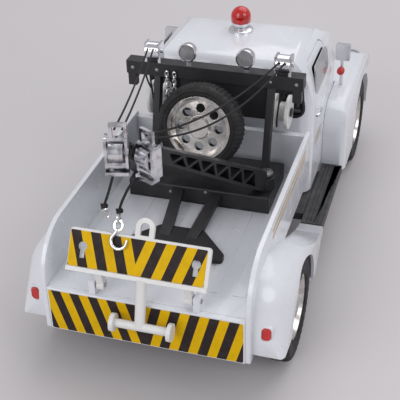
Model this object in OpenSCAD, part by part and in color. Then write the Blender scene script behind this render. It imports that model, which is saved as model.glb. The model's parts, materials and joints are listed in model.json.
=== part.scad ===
// Toy tow truck with twin booms, in millimetres. +Y is the front, +Z is up.
// Lengths along Y are counted from the rear face of the tail board; row() centres the finished truck.

/* [Wheels] */
// Distance between the axles
wheelbase = 160; // [156:0.5:161]
// Tyre radius
tyre_r = 22.4; // [21.8:0.1:22.6]
// Tyre width
tyre_w = 10; // [9:0.1:10.2]
// Rim radius
rim_r = 13.5; // [12:0.1:14]
// Axle radius
axle_r = 1.5; // [1.2:0.05:1.8]

/* [Bed] */
// Half width of the bed floor
bed_hw = 39; // [38.6:0.1:39.2]
// Height of the bed's rails above the ground
rail_z = 63.8; // [62.5:0.1:64.5]
// Width of a floor rib
rib_w = 5; // [3:0.1:6]

/* [Cab] */
// Thickness of the cab's skin
skin = 1.8; // [1.6:0.05:2]
// Gap around a door
door_gap = 0.35; // [0.3:0.05:0.5]
// Radius of the beacon's dome
beacon_r = 4.6; // [3.8:0.1:5]

/* [Mast] */
// Half length of the mast's top beam
beam_hl = 38.9; // [36:0.1:40]
// Radius of a winch drum's flange
drum_r = 7.5; // [6:0.1:7.6]
// Radius of a drum shaft
shaft_r = 1.2; // [1:0.05:1.5]
// Radius of the spare tyre
spare_r = 18.2; // [17:0.1:18.6]

/* [Booms] */
// Horizontal reach of a boom from its pin to its head
boom_reach = 63; // [56:0.5:64]
// Rise of the right boom
boom_pitch_right = 33.5; // [32:0.25:35]
// Rise of the left boom
boom_pitch_left = 36; // [34:0.25:37]
// Width of a boom
boom_w = 5.2; // [4:0.1:6]
// Radius of a boom's pin
boom_pin_r = 1.5; // [1.2:0.05:1.8]
// Distance of the left boom's tip from the truck's middle
tip_left = 12.3; // [12:0.1:16]
// Distance of the right boom's tip past the truck's middle
tip_right = -0.6; // [-3:0.1:0.6]
// Width of a boom's head
head_w = 8.4; // [7.6:0.1:8.6]
// Dip of the right boom's cables
cable_dip = 7; // [0:0.5:9]

/* [Tow bar] */
// Half width of the tow plate
plate_hw = 27.2; // [25:0.1:28]
// Height of the tow plate
plate_h = 15.2; // [14:0.1:16]
// Lean of the tow plate
plate_lean = 31; // [20:0.5:34]
// Radius of the tow bar's hinge pin
tow_pin_r = 1; // [0.8:0.05:1.2]
// Half length of the cross bar
cross_hl = 10.8; // [10:0.1:13]

/* [Base] */
// Radius of a display screw's hole
mount_r = 2; // [1.5:0.05:2.5]
// Distance between the display screws
mount_gap = 100; // [90:1:108]

/* [Hidden] */
$fn = 64;
run = 0.05;
seat = 0.06;
ff_y1 = 231;
front_y = ff_y1 + 7;
cross_y = -4.5;
cross_z = 35.5;
disc_r = 3.5;
cross_x = 0.7;
y_mid = (front_y + cross_y - disc_r) / 2;
rear_axle_y = 37.5;
front_axle_y = rear_axle_y + wheelbase;
axle_z = tyre_r;
arch_r = tyre_r + 2.9;
base_z = 13;
base_t = 4;
rail_x0 = 16;
rail_w = 6;
rail_top = axle_z + 2.6;
floor_z = 42;
floor_t = 2;
sill_z = floor_z + 0.4;
rib_z = floor_z + 0.4;
tail_z = 22.4;
side_t = 2;
side_x = bed_hw + side_t;
wall_y = 104;
wall_z = 62;
fender_x = side_x + 12.3;
tyre_x1 = fender_x - 1.4;
tyre_x0 = tyre_x1 - tyre_w;
front_in = 1.5;
cab_y0 = 115;
cab_y1 = 174.4;
cab_hw = 40;
cab_z0 = rail_top;
door_axis_y = 160.3;
hood_y0 = 174.8;
nose_y0 = 212;
nose_y1 = 229.5;
nose_hw = 29.7;
nose_z = 53.6;
ff_x0 = nose_hw + 0.3;
ff_x1 = 51.5;
ff_y0 = 146;
board_z = 24.5;
beam_y0 = 95.5;
beam_t = 6;
beam_z0 = 87.6;
beam_z1 = beam_z0 + beam_t;
deck_y0 = 70;
deck_y1 = 100;
deck_z = 50;
deck_hw = 31;
post_x = 25;
post_foot_y = 88;
post_lean = 15;
pulley_x = 30;
pulley_left = 26.8;
loop_off = 1;
pulley_z = beam_z1 + 4.6;
pulley_r = 3.8;
spot_x = 12.6;
spot_off = 1.7;
spot_z = beam_z1 + 6.4;
spot_r = 4.1;
drum_y = 106;
drum_z = wall_z + drum_r + 2.5;
drum_x0 = 24.4;
drum_x1 = 31.7;
spare_z = 76;
spare_y = 73;
spare_tilt = 13;
rim_face = tyre_x1 - 0.7;
rim_back = tyre_x0 + 0.8;
boom_x = 27.8;
boom_y = 78.4;
boom_z = deck_z + 3;
hub_z0 = deck_z + 0.3;
hub_z1 = deck_z + 5.9;
cheek_d = 4.7;
ledge_d = 5.6;
loop_hw = 3.2;
boom_in_left = asin((boom_x - tip_left) / boom_reach);
boom_in_right = asin((boom_x - tip_right) / boom_reach);
function head_z(pitch) = boom_z + boom_reach * tan(pitch);
hinge_y = 3.5;
hinge_z = 46;
plate_y0 = 1;
plate_x = -2.6;
plate_t = 1.6;
plate_z0 = 53.5;
ring_x = -1.2;
lug_x0 = 19.2;
lug_w = 2.5;
lamp_x = 46;
lamp_z = 35.4;
lamp_y0 = 3.2;
lamp_y1 = 8;
dome_r = 16.8;
head_lamp_x = 40.5;
head_lamp_z = 42;
roof_z = 91.8;
// Points on the hanging strings: head end, bend, knot
r_cord_a = [-6.4, 18.6, 85.1];
r_cord_b = [-9.4, 14, 80.6];
r_knot = [-10.8, 10.6, 75.5];
hook_top = [-11.2, 10.8, 71.8];
l_cord_a = [-12.8, 12.5, 89.2];
l_knot = [-14.5, 6, 80];
black = [0.05, 0.05, 0.055];
white = [0.86, 0.87, 0.9];
warm = [0.85, 0.83, 0.79];
chrome = [0.75, 0.75, 0.76];
rubber = [0.03, 0.03, 0.03];
red = [0.7, 0.03, 0.03];
smoke = [0.06, 0.06, 0.07];

// Unit vector
function unit(v) = v / norm(v);

// Points of one rounded corner of an outline
function corner(a, b, c, r) =
  r <= 0 ? [b] :
  let (u = unit(a - b), w = unit(c - b), half = acos(u * w) / 2, t = r / tan(half),
    p = b + u * t, q = b + w * t, m = b + unit(u + w) * (r / sin(half)),
    s = atan2(p[1] - m[1], p[0] - m[0]), e = atan2(q[1] - m[1], q[0] - m[0]),
    d = ((e - s + 540) % 360) - 180, n = max(3, ceil(abs(d) / 9)))
  [for (i = [0:n]) m + r * [cos(s + d * i / n), sin(s + d * i / n)]];

function flat2(p) = [p[0], p[1]];

// Outline from points that carry a corner radius as third value
function rounded(pts) =
  let (n = len(pts))
  [for (i = [0:n - 1])
    for (q = corner(flat2(pts[(i + n - 1) % n]), flat2(pts[i]), flat2(pts[(i + 1) % n]),
      len(pts[i]) > 2 ? pts[i][2] : 0)) q];

module outline(pts) polygon(rounded(pts));

// Moves from the tail board's count along Y to the truck's centre
module row() translate([0, -y_mid, 0]) children();

// Side outline given as Y and Z, pushed along X
module yz(x0, x1) translate([x0, 0, 0]) rotate([90, 0, 90]) linear_extrude(x1 - x0) children();

// Cross outline given as X and Z, pushed along Y
module xz(y0, y1) translate([0, y1, 0]) rotate([90, 0, 0]) linear_extrude(y1 - y0) children();

// Plan outline pushed along Z
module xy(z0, z1) translate([0, 0, z0]) linear_extrude(z1 - z0) children();

module box(x, y, z) translate([x[0], y[0], z[0]]) cube([x[1] - x[0], y[1] - y[0], z[1] - z[0]]);

module both() {
  children();
  mirror([1, 0, 0]) children();
}

module left() mirror([1, 0, 0]) children();

// Round bar from a to b
module rod(a, b, r) {
  d = b - a;
  n = norm(d);
  translate(a) rotate([0, acos(d[2] / n), atan2(d[1], d[0])]) cylinder(r = r, h = n);
}

module along_x(x0, x1, y, z, r) translate([x0, y, z]) rotate([0, 90, 0]) cylinder(r = r, h = x1 - x0);

module along_y(x, y0, y1, z, r) translate([x, y0, z]) rotate([-90, 0, 0]) cylinder(r = r, h = y1 - y0);

module chassis() color(black) row() {
  difference() {
    union() {
      box([-28, 28], [16, 226], [base_z, base_z + base_t]);
      both() box([rail_x0, rail_x0 + rail_w], [14, nose_y0 - 1], [base_z + base_t, rail_top]);
      both() for (y = [58, 92]) {
        box([rail_x0, rail_x0 + rail_w], [y, y + 7], [rail_top, floor_z - floor_t]);
      }
    }
    for (y = [rear_axle_y, front_axle_y]) along_x(-40, 40, y, axle_z, axle_r + run);
    for (s = [-1, 1]) translate([0, y_mid + s * mount_gap / 2, base_z - 1]) cylinder(r = mount_r, h = base_t + 2);
    for (y = [22, 218]) translate([0, y, base_z - 1]) cylinder(r = 1.5 + seat, h = base_t + 2);
  }
}

module base_screws() color(chrome) row() for (y = [22, 218]) {
  translate([0, y, base_z - 0.9]) cylinder(r = 2.6, h = 0.9);
  translate([0, y, base_z]) cylinder(r = 1.5, h = base_t);
}

module bed_floor() color(white) row() {
  difference() {
    union() {
      box([-bed_hw, bed_hw], [2.5, wall_y], [floor_z - floor_t, floor_z]);
      box([-bed_hw, bed_hw], [2.5, 12], [floor_z, sill_z]);
      for (i = [-3:3]) box([i * 11 - rib_w / 2, i * 11 + rib_w / 2], [14, deck_y0 - 0.4], [floor_z, rib_z]);
      both() box([lug_x0, lug_x0 + lug_w], [0.8, 6.2], [sill_z, hinge_z + 2.4]);
      both() box([lug_x0, lug_x0 + lug_w], [2.5, 6.2], [floor_z - 1, hinge_z]);
    }
    along_x(-30, 30, hinge_y, hinge_z, tow_pin_r + seat);
  }
}

module bed_side() yz(bed_hw, side_x) outline([
  [0, tail_z, 1], [8, tail_z, 1], [8, floor_z - floor_t, 2], [wall_y + 3, floor_z - floor_t, 1],
  [wall_y + 3, rail_z, 2], [0, rail_z, 20]]);

module bed_side_left() color(white) row() left() bed_side();

module bed_side_right() color(white) row() bed_side();

module bed_front_wall() color(white) row() box([-bed_hw, bed_hw], [wall_y, wall_y + 3], [floor_z - floor_t, wall_z]);

module tail_board() color(white) row() box([-bed_hw, bed_hw], [0, 2.5], [tail_z, sill_z]);

// Outline of a tail lamp, drawn out by g
module lamp_outline(g) outline([[lamp_x - 1.7 - g, lamp_z - 2.6 - g, 1.3], [lamp_x + 1.7 + g, lamp_z - 2.6 - g, 1.3],
  [lamp_x + 1.7 + g, lamp_z + 2.6 + g, 1.3], [lamp_x - 1.7 - g, lamp_z + 2.6 + g, 1.3]]);

module tail_lamps() color(red) row() both() xz(lamp_y0, lamp_y1) lamp_outline(0);

// Space for a rear wheel, with the tyre's rounded shoulder
module wheel_space() translate([0, rear_axle_y, axle_z]) rotate([0, 90, 0]) rotate_extrude($fn = 96) polygon([
  [0, side_x - 1], [tyre_r + 1, side_x - 1], [tyre_r + 1, tyre_x1 - 2.3], [tyre_r + 0.5, tyre_x1 - 1.1],
  [tyre_r - 0.6, tyre_x1], [tyre_r - 1.8, tyre_x1 + 0.6], [0, tyre_x1 + 0.6]]);

// Domed outer form of a pontoon, which is wider at its foot
module pontoon() hull() {
  for (y = [19.2, 60]) translate([fender_x - dome_r, y, 38.4]) sphere(dome_r, $fn = 60);
  translate([fender_x - 3.6, 6, 20]) cylinder(r = 3.4, h = 4.8, $fn = 24);
  box([side_x - 4, fender_x], [20, 62], [18, 22]);
  box([side_x - 4, 50.8], [92, 93], [18, 30]);
  box([side_x - 4, side_x], [2.6, 93], [18, 22]);
}

// Pontoon over a rear wheel, cut by its side outline
module rear_fender() difference() {
  intersection() {
    yz(side_x, fender_x + 1) outline([[2.4, 24.8, 1.5], [2.4, 54.6, 16], [29, 54.6, 20], [79, 29.6, 24],
      [92.6, board_z + 0.3, 4], [92.6, 20.5, 1], [60, 20.5, 1], [44, 24.8, 1]]);
    pontoon();
  }
  wheel_space();
  along_x(tyre_x1, fender_x + 1, rear_axle_y, axle_z, tyre_r - 1);
  xz(-2, lamp_y1) lamp_outline(seat);
}

module rear_fender_left() color(white) row() left() rear_fender();

module rear_fender_right() color(white) row() rear_fender();

module running_board() difference() {
  union() {
    box([side_x - 0.4, 50.5], [93, ff_y0 - 0.4], [20.5, board_z]);
    box([rail_x0 + rail_w, side_x], [100, 138], [20.5, board_z - 0.3]);
  }
  for (x = [42.4:1.6:49.2]) box([x, x + 0.8], [94, ff_y0 - 2], [board_z - 0.5, board_z + 1]);
}

module running_board_left() color(black) row() left() running_board();

module running_board_right() color(black) row() running_board();

// Cab's solid, drawn in by t on every side
module cab_form(t) intersection() {
  yz(-45, 45) outline([[cab_y0 + t, cab_z0 + t, 1], [cab_y0 + t, 68, 12], [117.5 + t, 88.6 - t, 9],
    [131, 91.8 - t, 40], [152, 91.6 - t, 30], [162.6 - t * 0.8, 87.6 - t, 7],
    [173.4 - t, 70 - t * 0.4, 5], [cab_y1 - t, 66, 2], [cab_y1 - t, cab_z0 + t, 1]]);
  xz(100, 190) outline([[-cab_hw + t, cab_z0 + t, 1], [-cab_hw + t, 68.5, 6], [-35.4 + t, 88.4 - t, 15],
    [-17, 92 - t, 60], [17, 92 - t, 60], [35.4 - t, 88.4 - t, 15], [cab_hw - t, 68.5, 6],
    [cab_hw - t, cab_z0 + t, 1]]);
  xy(10, 100) outline([[-cab_hw + t, cab_y0 + t, 7 - t], [cab_hw - t, cab_y0 + t, 7 - t],
    [cab_hw - t, cab_y1 - t, 4 - t], [-cab_hw + t, cab_y1 - t, 4 - t]]);
}

// Door's outline, drawn in by g
module door_outline(g) outline([[121.5 + g, cab_z0 + 3 + g, 3], [141.2 - g, cab_z0 + 3 + g, 3],
  [141.2 - g, 56 + g, 4], [160 - g, 58.6 + g, 2], [160 - g, 69, 4], [156.6 - g, 85.8 - g, 4],
  [126 + g, 85.8 - g, 4], [121.5 + g, 69, 4]]);

module window_outline() outline([[125, 70.6, 3], [156.8, 70.6, 2], [153.8, 83, 3], [128.4, 83, 3]]);

// Opening and pane of the windscreen, in its own leaning plane
module screen_plane() translate([0, 168.4, 78.6]) rotate([90 + 31.6, 0, 0]) children();

module screen_outline(g) outline([[-32 + g, -7 + g, 3], [32 - g, -7 + g, 3], [28 - g, 7 - g, 3], [-28 + g, 7 - g, 3]]);

module rear_outline(g) outline([[-cab_hw + 3.8 + g, 65 + g, 4], [cab_hw - 3.8 - g, 65 + g, 4], [cab_hw - 5.6 - g, 82 - g, 4],
  [-cab_hw + 5.6 + g, 82 - g, 4]]);

module cab_skin() difference() {
  cab_form(0);
  cab_form(skin);
  both() yz(30, 46) window_outline();
  screen_plane() translate([0, 0, -8]) linear_extrude(16) screen_outline(0);
  xz(110, 124) rear_outline(0);
}

module cab_shell() color(white) row() difference() {
  cab_skin();
  both() yz(30, 46) door_outline(0);
}

module door() {
  intersection() {
    cab_skin();
    yz(30, 46) door_outline(door_gap);
  }
  // Handle
  along_y(cab_hw + 0.5, 125, 131, 62, 0.7);
}

module door_left() color(white) row() left() door();

module door_right() color(white) row() door();

module cab_glass() color(smoke) row() {
  xz(cab_y0 + 1.2, cab_y0 + 2.2) rear_outline(seat);
  screen_plane() translate([0, 0, -0.6]) linear_extrude(1.2) screen_outline(seat);
}

// Hood's solid, drawn in by t
module hood_form(t) intersection() {
  yz(-45, 45) outline([[hood_y0 + t * 0.2, 54.4 - t * 3], [hood_y0 + t * 0.2, 69.4 - t, 2], [192, 69 - t, 60],
    [214 - t, 65 - t, 20], [224.5 - t, 57 - t, 5], [224.5 - t, 54.4 - t * 3]]);
  xz(170, 230) outline([[-nose_hw + t, 54.4 - t * 3], [-nose_hw + t, 65.4 - t, 9], [-10, 69.6 - t, 40],
    [10, 69.6 - t, 40], [nose_hw - t, 65.4 - t, 9], [nose_hw - t, 54.4 - t * 3]]);
}

module hood() color(white) row() difference() {
  hood_form(0);
  hood_form(1.6);
}

module nose() color(white) row() intersection() {
  yz(-nose_hw, nose_hw) outline([[nose_y0, base_z + base_t], [nose_y0, nose_z, 1], [225, nose_z, 6],
    [nose_y1, 42, 12], [nose_y1, 26, 5], [226, base_z + base_t]]);
  xz(200, 232) outline([[-nose_hw, 17], [-nose_hw, nose_z, 3], [nose_hw, nose_z, 3], [nose_hw, 17]]);
}

module grille() color(chrome) row() {
  difference() {
    xz(nose_y1, nose_y1 + 1.4) outline([[-25, 27, 3], [25, 27, 3], [25, 42.5, 3], [-25, 42.5, 3]]);
    xz(nose_y1 - 1, nose_y1 + 3) outline([[-23, 28.6, 2], [23, 28.6, 2], [23, 41, 2], [-23, 41, 2]]);
  }
  for (z = [31, 34.2, 37.4]) box([-23.5, 23.5], [nose_y1, nose_y1 + 1], [z, z + 1.2]);
}

module headlamps() color(chrome) row() both() {
  along_y(head_lamp_x, ff_y1 - 8, ff_y1 - 0.4, head_lamp_z, 5.6);
  along_y(head_lamp_x, ff_y1 - 0.4, ff_y1 + 0.6, head_lamp_z, 4.6);
}

module front_bumper() color(chrome) row() {
  xz(front_y - 3, front_y) outline([[-46, 24, 2], [46, 24, 2], [46, 31.5, 2], [-46, 31.5, 2]]);
  both() box([10, 14], [226, front_y - 3], [base_z, base_z + base_t]);
  both() box([10, 14], [front_y - 6, front_y - 3], [base_z, 28]);
}

module front_fender() difference() {
  intersection() {
    yz(ff_x0, ff_x1) outline([[ff_y0, 20.5, 2], [ff_y0, 54.6, 14], [188, 55.6, 60], [ff_y1 - 15, 53, 24],
      [ff_y1, 46, 8], [ff_y1, 27, 6], [ff_y1 - 9, 20.5, 2]]);
    xz(140, ff_y1 + 5) outline([[ff_x0, 20], [ff_x1, 20, 1], [ff_x1, 57, 12], [ff_x0, 57]]);
    xy(10, 70) outline([[cab_hw + 0.1, ff_y0], [ff_x1, ff_y0, 6], [ff_x1, ff_y1, 12], [ff_x0, ff_y1],
      [ff_x0, cab_y1 + 0.2], [cab_hw + 0.1, cab_y1 + 0.2]]);
  }
  along_x(36, 60, front_axle_y, axle_z, arch_r);
  box([20, 40], [front_axle_y - 3, front_axle_y + 3], [10, axle_z + 3]);
  along_y(head_lamp_x, ff_y1 - 8, ff_y1 + 4, head_lamp_z, 5.6 + seat);
}

module front_fender_left() color(white) row() left() front_fender();

module front_fender_right() color(white) row() front_fender();

module mirrors() color(chrome) row() both() {
  translate([cab_hw + 3.6, 171.6, 55.3]) cylinder(r = 0.8, h = 14);
  xz(170.6, 172.8) outline([[cab_hw + 0.1, 68.6, 1], [cab_hw + 7.3, 68.6, 1], [cab_hw + 7.3, 77, 1], [cab_hw + 0.1, 77, 1]]);
}

module bench_seat() color(black) row() {
  box([-cab_hw + 7, cab_hw - 7], [119, 139], [cab_z0 + skin, 45]);
  yz(-cab_hw + 7, cab_hw - 7) outline([[118.6, 45], [125, 45, 1], [122.6, 64, 2], [119.2, 64, 1]]);
}

module dashboard() color(black) row() {
  yz(-cab_hw + 4.6, cab_hw - 4.6) outline([[163, 55, 2], [172.4, 55], [172.4, 64.6, 2], [163, 64, 2]]);
  both() box([cab_hw - 7, cab_hw - 4.6], [168, 172.4], [cab_z0 + skin, 56]);
}

module steering_wheel() color(black) row() translate([-16, 154, 56.4]) rotate([-62, 0, 0]) {
  rotate_extrude() translate([7.4, 0]) circle(0.7, $fn = 24);
  for (a = [0, 120, 240]) rotate([0, 0, a]) box([-0.6, 0.6], [0, 7.4], [-0.4, 0.4]);
  translate([0, 0, -1]) cylinder(r = 1.6, h = 2);
  cylinder(r = 0.9, h = 9.6);
}

module engine() color(black) row() {
  box([-11, 11], [182, 208], [rail_top + 3, 52]);
  both() box([8, 22], [186, 192], [rail_top, rail_top + 4]);
  translate([0, 195, 52]) cylinder(r = 3, h = 3);
  translate([0, 195, 54.8]) cylinder(r = 8.5, h = 4);
  both() along_y(13, 184, 206, 46, 2.4);
}

module beacon_base() color(chrome) row() translate([0, 142.7, roof_z - 0.04]) {
  cylinder(r = beacon_r + 1, h = 1.2);
  cylinder(r = beacon_r - 0.6, h = 4.3);
}

module beacon_dome() color(red) row() translate([0, 142.7, roof_z + 4.3]) {
  cylinder(r = beacon_r, h = 2.6);
  translate([0, 0, 2.6]) intersection() {
    sphere(beacon_r);
    translate([-6, -6, 0]) cube(12);
  }
}

module mast_post() intersection() {
  translate([post_x, post_foot_y, deck_z]) rotate([-post_lean, 0, 0]) translate([-1.5, -2, -10]) cube([3, 4, 70]);
  box([post_x - 5, post_x + 5], [70, 120], [deck_z, beam_z0]);
}

module mast_post_left() color(black) row() left() mast_post();

module mast_post_right() color(black) row() mast_post();

module mast_beam() color(black) row() {
  box([-beam_hl, beam_hl], [beam_y0, beam_y0 + beam_t], [beam_z0, beam_z1]);
  // Gussets under the beam's ends
  both() box([34.4, beam_hl - 0.6], [beam_y0, beam_y0 + 3], [beam_z0 - 5.5, beam_z0 + 1]);
  box([-19, post_x - 1.5 - 0.3], [beam_y0 + 1.5, beam_y0 + 3.5], [72, beam_z0 + 1]);
  box([-6, 6], [beam_y0 + 1.5, beam_y0 + 3.5], [spare_z - 9, 80]);
  intersection() {
    spare_place() along_x(rim_back - 30, rim_back, 0, 0, 3.2);
    box([-6, 6], [60, beam_y0 + 2.5], [60, 90]);
  }
}

module spotlights() color(chrome) row() translate([spot_off, 0, 0]) both() {
  box([spot_x - 1.1, spot_x + 1.1], [beam_y0 + 1.6, beam_y0 + 4.4], [beam_z1, spot_z - spot_r + 1]);
  along_y(spot_x, beam_y0 - 0.5, beam_y0 + 5, spot_z, spot_r);
}

module masthead_pulley(x) {
  for (s = [-1, 1]) box([x + s * 3 - 0.6, x + s * 3 + 0.6], [beam_y0 + 0.4, beam_y0 + 5.6], [beam_z1, pulley_z + 3.8]);
  along_x(x - 3, x + 3, beam_y0 + 3, pulley_z, pulley_r);
  along_x(x - 4.2, x + 4.2, beam_y0 + 3, pulley_z, 0.9);
}

// The left pulley stands further in than the right one
module masthead_pulleys() color(chrome) row() {
  masthead_pulley(pulley_x);
  left() masthead_pulley(pulley_left);
}

module winch_brackets() color(black) row() both() {
  box([drum_x0 - 1.7, drum_x0 - 0.5], [wall_y, wall_y + 3], [wall_z, drum_z]);
  along_x(drum_x0 - 1.7, drum_x0 - 0.5, drum_y, drum_z, 2.6);
  along_x(drum_x0 - 1.7, drum_x1 + 0.9, drum_y, drum_z, shaft_r);
  along_x(drum_x1 + 0.3, drum_x1 + 0.9, drum_y, drum_z, shaft_r + 0.9);
}

module winch_drum() difference() {
  union() {
    along_x(drum_x0, drum_x0 + 1.3, drum_y, drum_z, drum_r);
    along_x(drum_x1 - 1.3, drum_x1, drum_y, drum_z, drum_r);
    along_x(drum_x0, drum_x1, drum_y, drum_z, 4.2);
  }
  along_x(drum_x0 - 1, drum_x1 + 1, drum_y, drum_z, shaft_r + run);
  for (a = [0:60:300]) translate([0, drum_y, drum_z]) rotate([a, 0, 0]) along_x(drum_x0 - 1, drum_x0 + 1.31, 0, 5.9, 0.7);
}

module winch_drum_left() color(warm) row() left() winch_drum();

module winch_drum_right() color(warm) row() winch_drum();

module hoist_cable(x) rod([28, drum_y + 2, drum_z + 4.6], [x - 1, beam_y0 + 7.3, pulley_z + 0.4], 0.45);

module hoist_cables() color(rubber) row() {
  hoist_cable(pulley_x);
  left() hoist_cable(pulley_left);
}

module winch_platform() color(black) row() {
  yz(-deck_hw, deck_hw) outline([[deck_y0, floor_z], [deck_y0, deck_z, 1], [deck_y1, deck_z, 1], [deck_y1, floor_z]]);
}

// One bar of the floor brace
module brace_bar() intersection() {
  translate([6, 46, rib_z + 1.4]) rotate([9, 0, -6]) box([-2.3, 2.3], [-6, 40], [-1.1, 1.1]);
  box([-20, 20], [42, deck_y0], [rib_z, deck_z]);
}

module floor_brace() color(black) row() {
  xy(rib_z, rib_z + 1.8) outline([[-9, 49, 2], [9, 49, 2], [21.5, 35, 2], [21.5, 31, 1.5], [-21.5, 31, 1.5], [-21.5, 35, 2]]);
  both() brace_bar();
}

module boom_pins() color(chrome) row() both() translate([boom_x, boom_y, deck_z]) {
  cylinder(r = boom_pin_r, h = 6.4);
  translate([0, 0, 6.2]) cylinder(r = 2.9, h = 1.6);
  translate([0, 0, 7.7]) cylinder(r = 1.8, h = 0.8);
}

// Half depth of a boom at a given length
function boom_half(s) = 4.4 - 1.7 * s / 76;

// Girder outline with its row of triangles
module girder(pitch) {
  n = 6;
  s0 = 9;
  c = (boom_reach / cos(pitch) - s0 - 4) / (n + 0.5);
  difference() {
    polygon([[0, -4.4], [84, -2.5], [84, 2.5], [0, 4.4]]);
    for (i = [0:n - 1]) {
      a = s0 + i * c;
      polygon([[a + 0.9, -boom_half(a) + 1.2], [a + c - 0.9, -boom_half(a + c) + 1.2], [a + c / 2, boom_half(a) - 1.9]]);
      polygon([[a + c / 2 + 0.9, boom_half(a) - 1.2], [a + c * 1.5 - 0.9, boom_half(a + c) - 1.2],
        [a + c, -boom_half(a + c) + 1.9]]);
    }
  }
}

// Boom along +Y of its own frame, with the pin at the origin
module boom(pitch) difference() {
  union() {
    intersection() {
      yz(-boom_w / 2, boom_w / 2) translate([0, boom_z]) rotate(pitch) girder(pitch);
      box([-6, 6], [0.5, boom_reach], [hub_z0, 130]);
    }
    translate([0, 0, hub_z0]) cylinder(r = 4.2, h = hub_z1 - hub_z0);
  }
  translate([0, 0, hub_z0 - 1]) cylinder(r = boom_pin_r + run, h = 20);
  translate([0, 0, hub_z1]) cylinder(r = 3.6, h = 12);
}

// Sheave block at a boom's end
module boom_head(pitch, off) translate([0, boom_reach, head_z(pitch)]) {
  hw = head_w / 2;
  box([-hw, hw], [0, 1.2], [-4, 4]);
  both() yz(hw - 1, hw) outline([[0, -8], [cheek_d, -8, 1.6], [cheek_d, 5, 1.6], [0, 5]]);
  along_x(-hw + 1.6, hw - 1.6, 3.6, -0.4, 3.5);
  along_x(-hw - 0.2, hw + 0.2, 3.6, -0.4, 1);
  along_x(-hw + 0.5, hw - 0.5, 3.2, -6, 1.5);
  translate([off, 0, 0]) {
    both() box([loop_hw - 1.2, loop_hw], [2, 3.4], [4, 10]);
    box([-loop_hw, loop_hw], [2, 3.4], [9.2, 10.6]);
  }
  box([-hw, hw], [2, 3.4], [3.6, 5]);
  box([-hw, hw], [1.6, ledge_d], [-9.4, -8]);
}

module at_boom_left() translate([-boom_x, boom_y, 0]) rotate([0, 0, 180 + boom_in_left]) children();

module at_boom_right() translate([boom_x, boom_y, 0]) rotate([0, 0, 180 - boom_in_right]) children();

module boom_left() color(black) row() at_boom_left() boom(boom_pitch_left);

module boom_right() color(black) row() at_boom_right() boom(boom_pitch_right);

module boom_head_left() color(chrome) row() at_boom_left() boom_head(boom_pitch_left, -loop_off);

module boom_head_right() color(chrome) row() at_boom_right() boom_head(boom_pitch_right, 0);

// Tip of a boom's cable, just short of the head's loop
function tip(x, a, side, pitch) =
  let (r = boom_reach + 1.6) [x + r * sin(a) + side * cos(a), boom_y - r * cos(a) + side * sin(a), head_z(pitch) + 7.4];

// Cable from a to b that hangs down by dip in its middle: rings of eight points swept along it
module slack(a, b, dip) {
  n = 32;
  c = 0.4;
  p = [for (i = [0:n]) a + (b - a) * i / n - [0, 0, dip * 4 * (i / n) * (1 - i / n)]];
  rings = [for (i = [0:n]) let (d = unit(p[min(i + 1, n)] - p[max(i - 1, 0)]), u = unit(cross(d, [0, 0, 1])), w = cross(u, d))
    for (k = [0:7]) p[i] + c * (cos(k * 45) * u + sin(k * 45) * w)];
  sides = [for (i = [0:n - 1], k = [0:7]) let (m = (k + 1) % 8) [i * 8 + k, i * 8 + m, i * 8 + 8 + m, i * 8 + 8 + k]];
  polyhedron(rings, concat([[for (k = [7:-1:0]) k]], sides, [[for (k = [0:7]) n * 8 + k]]));
}

module boom_cable_left() color(rubber) row() for (s = [-1, 1]) {
  slack([-pulley_left + 1.2 * s, beam_y0 - 1.4, pulley_z + 2.4],
    tip(-boom_x, boom_in_left, loop_off + 1.4 * s, boom_pitch_left), 2);
}

module boom_cable_right() color(rubber) row() for (s = [-1, 1]) {
  slack([pulley_x + 1.2 * s, beam_y0 - 1.4, pulley_z + 2.4], tip(boom_x, -boom_in_right, 1.6 * s, boom_pitch_right),
    cable_dip + 1.5 * s);
}

module hook_cord() color(rubber) row() {
  rod(r_cord_a, r_cord_b, 0.5);
  translate(r_cord_b) sphere(0.52);
  rod(r_cord_b, r_knot, 0.5);
  translate(r_knot) sphere(1.3);
}

module tow_hook() color(chrome) row() translate(hook_top) rotate([-plate_lean, 0, 0]) {
  rotate([0, 90, 0]) rotate_extrude() translate([1.5, 0]) circle(0.6, $fn = 24);
  rod([-0.3, 0, -5.2], [0, 0, -1.4], 0.8);
  translate([0.9, 0, -8]) rotate([90, 0, 0]) difference() {
    rotate_extrude() translate([3, 0]) circle(0.95, $fn = 24);
    translate([0, 0.4, -2]) cube([6, 6, 4]);
  }
}

module left_cord() color(rubber) row() {
  rod(l_cord_a, l_knot, 0.5);
  translate(l_knot) sphere(1.3);
}

module keyhole(x) {
  translate([x, plate_h * 0.5 + 1]) circle(1.7);
  translate([x - 0.9, plate_h * 0.5 - 3.4]) square([1.8, 4]);
}

// Leaning plate with its lip and ring, from its lower edge
module tow_plate() {
  xz(0, plate_t) difference() {
    outline([[plate_x - plate_hw, 0, 1], [plate_x + plate_hw, 0, 1], [plate_x + plate_hw, plate_h, 1.4],
      [plate_x - plate_hw, plate_h, 1.4]]);
    keyhole(plate_x - plate_hw + 5.6);
    keyhole(plate_x + plate_hw - 5);
  }
  box([plate_x - plate_hw, plate_x + plate_hw], [-1.2, plate_t], [-0.8, 0.8]);
  xz(0, plate_t) translate([ring_x, plate_h]) difference() {
    union() {
      translate([0, 3.7]) circle(3.6);
      translate([-3.6, -1]) square([7.2, 4.7]);
    }
    translate([0, 3.7]) circle(1.75);
    translate([-1.75, 0.6]) square([3.5, 3.1]);
  }
}

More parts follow.
